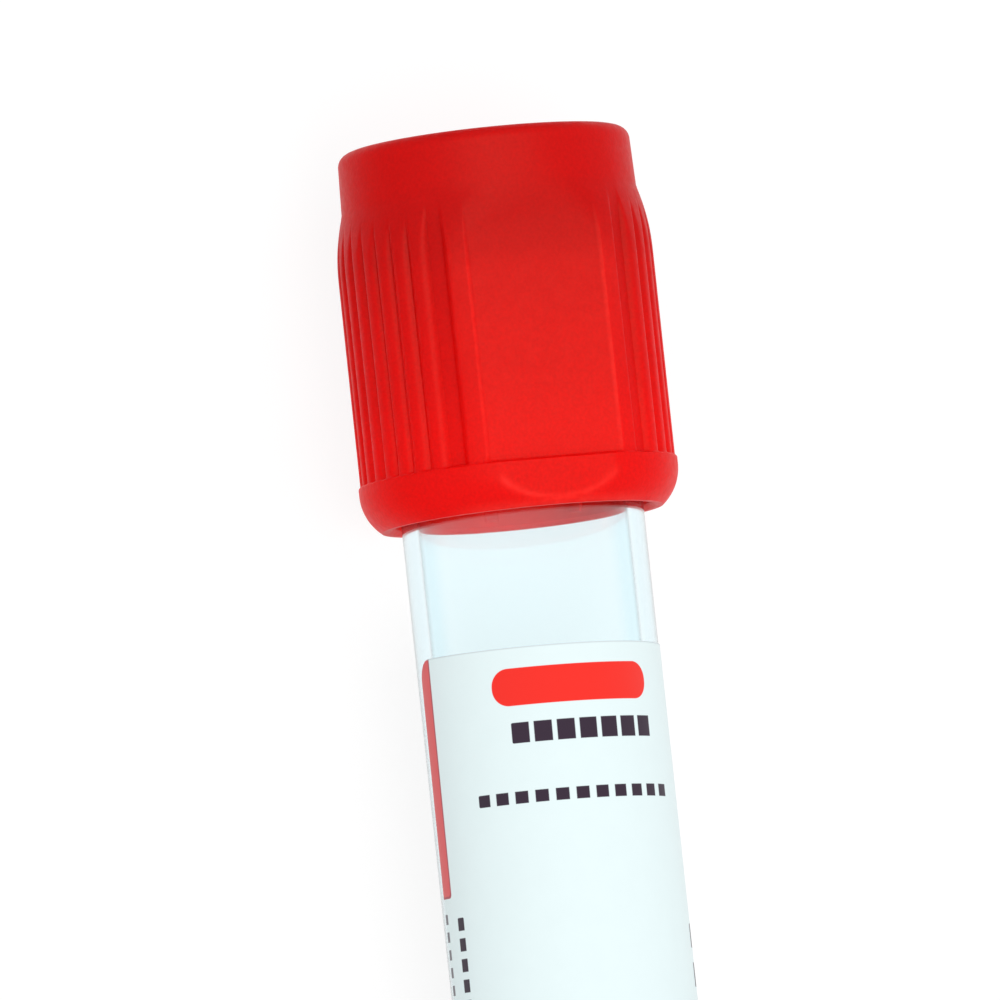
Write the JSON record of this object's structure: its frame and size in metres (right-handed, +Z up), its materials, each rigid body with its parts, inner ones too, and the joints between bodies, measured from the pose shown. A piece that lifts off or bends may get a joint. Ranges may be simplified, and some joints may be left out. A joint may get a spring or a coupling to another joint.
{
  "type": "blood collection tube",
  "caption": "Clear round-bottomed blood collection tube with a rubber stopper, a fluted red safety cap and a wrap-round label, lying on its side.",
  "frame": {"origin": "centre of the overall box at the surface the tube lies on", "axes": "+X along the tube towards the cap, +Z up from the surface through the cap's upper thumb panel; the tube's axis rises 1.03 degrees towards the cap"},
  "size_m": [0.1053, 0.0172, 0.0161],
  "materials": {
    "clear_plastic": "clear, smooth",
    "cap_plastic": "fine spark-eroded texture",
    "stopper_rubber": "dull",
    "label_paper": "satin coated"
  },
  "bodies": {
    "tube_body": {"tube": "clear_plastic", "label": "label_paper"},
    "closure": {"cap": "cap_plastic", "stopper": "stopper_rubber"}
  },
  "joints": [
    {"name": "closure_pull", "type": "slide", "parent": "tube_body", "child": "closure", "axis": [0.9998, 0, 0.018], "range_m": [0, 0.032]}
  ]
}
